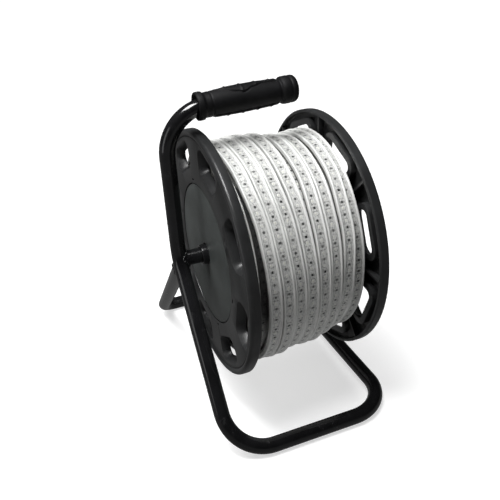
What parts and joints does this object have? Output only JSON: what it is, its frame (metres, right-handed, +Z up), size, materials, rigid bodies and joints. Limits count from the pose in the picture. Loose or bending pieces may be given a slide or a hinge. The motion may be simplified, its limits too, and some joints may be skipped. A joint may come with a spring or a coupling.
{
  "type": "led strip light reel",
  "caption": "White LED strip light wound on a black plastic reel that turns in a bent steel tube stand with a rubber hand grip.",
  "frame": {"origin": "on the floor, in the middle of the stand's outline seen from above", "axes": "+X from the upright side of the stand along the drum's axle, +Y to the back, +Z up"},
  "size_m": [0.2204, 0.3446, 0.3776],
  "materials": {
    "stand_paint": "gloss black",
    "axle_steel": "gloss black",
    "reel_plastic": "satin black",
    "grip_rubber": "matt black",
    "strip_jacket": "satin white"
  },
  "bodies": {
    "stand": {"stand_tube": "stand_paint", "axle": "axle_steel", "left_collar": "axle_steel", "right_collar": "axle_steel", "grip": "grip_rubber"},
    "drum": {"left_flange": "reel_plastic", "right_flange": "reel_plastic", "left_cover": "reel_plastic", "right_cover": "reel_plastic", "drum_barrel": "reel_plastic", "strip_winding": "strip_jacket"}
  },
  "joints": [
    {"name": "drum_spin", "type": "hinge", "parent": "stand", "child": "drum", "pos_m": [-0.10125, -0.0175, 0.186], "axis": [1, 0, 0], "continuous": true}
  ]
}
